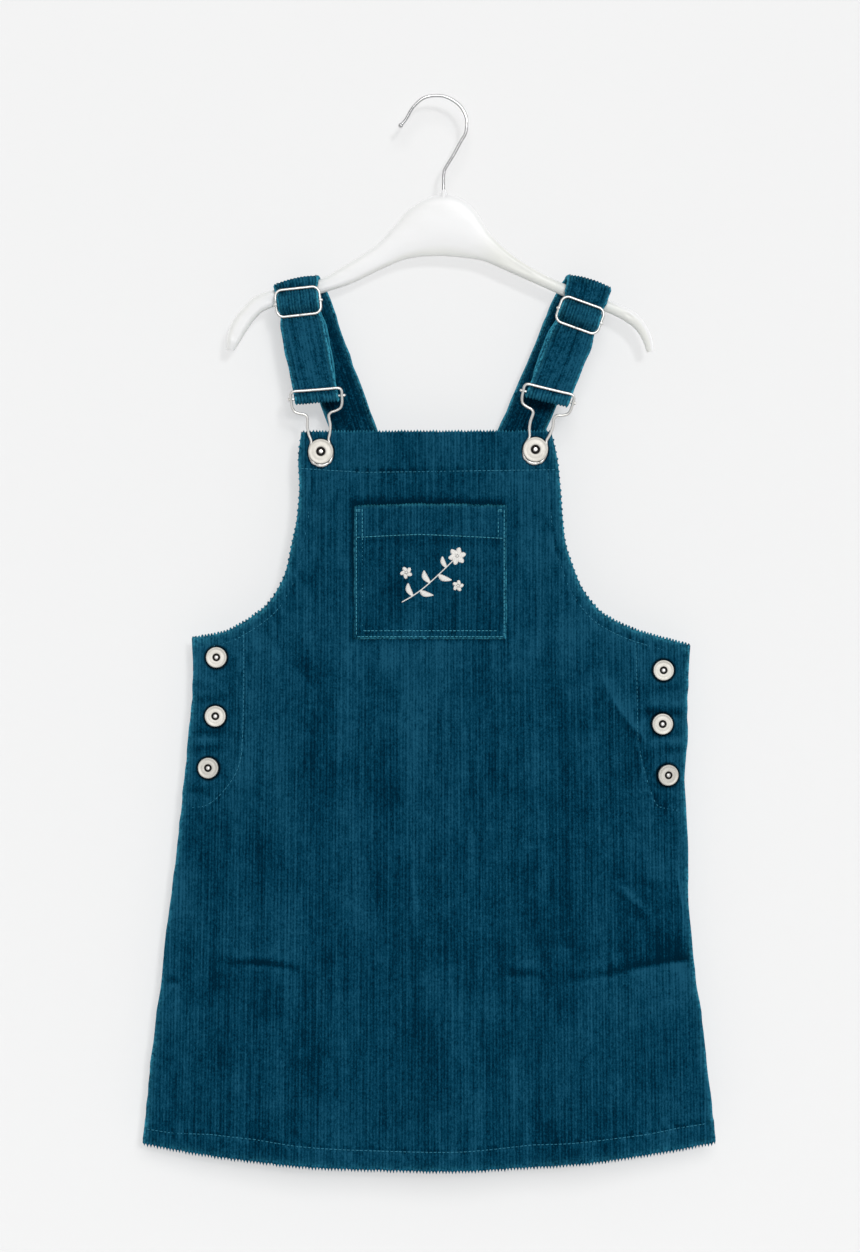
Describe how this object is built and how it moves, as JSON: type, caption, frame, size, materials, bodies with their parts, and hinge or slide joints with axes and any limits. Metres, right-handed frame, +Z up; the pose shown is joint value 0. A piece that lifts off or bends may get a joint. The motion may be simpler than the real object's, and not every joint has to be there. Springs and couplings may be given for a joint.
{
  "type": "pinafore dress on a hanger",
  "caption": "Sleeveless corduroy pinafore dress with bib pocket, buckled straps and side buttons, hanging nearly flat on a plastic hanger with a wire hook.",
  "frame": {"origin": "inside top of the hanger's hook, in the middle of its wire's thickness, where a rail carries it", "axes": "+Z up, +X to the viewer's right, the front of the dress faces -Y"},
  "size_m": [0.4367, 0.0432, 0.818],
  "materials": {
    "corduroy": "cotton needlecord, ribs upright, soft nap",
    "strap_corduroy": "doubled cotton needlecord",
    "nickel_wire": "pale nickel plated wire",
    "button_metal": "pale silver, satin, dark in the ring round the pin",
    "hanger_plastic": "white, satin",
    "hook_wire": "bright wire with a ball tip"
  },
  "bodies": {
    "root": {"front_panel": "corduroy", "back_panel": "corduroy", "bib_pocket": "corduroy", "strap_left": "strap_corduroy", "strap_right": "strap_corduroy", "slider_left": "nickel_wire", "slider_bar_left": "nickel_wire", "slider_right": "nickel_wire", "slider_bar_right": "nickel_wire", "buckle_left": "nickel_wire", "buckle_bar_left": "nickel_wire", "buckle_right": "nickel_wire", "buckle_bar_right": "nickel_wire", "bib_button_left": "button_metal", "bib_button_right": "button_metal", "side_button_left_1": "button_metal", "side_button_left_2": "button_metal", "side_button_left_3": "button_metal", "side_button_right_1": "button_metal", "side_button_right_2": "button_metal", "side_button_right_3": "button_metal", "hanger_body": "hanger_plastic", "hanger_hook": "hook_wire"}
  },
  "joints": []
}
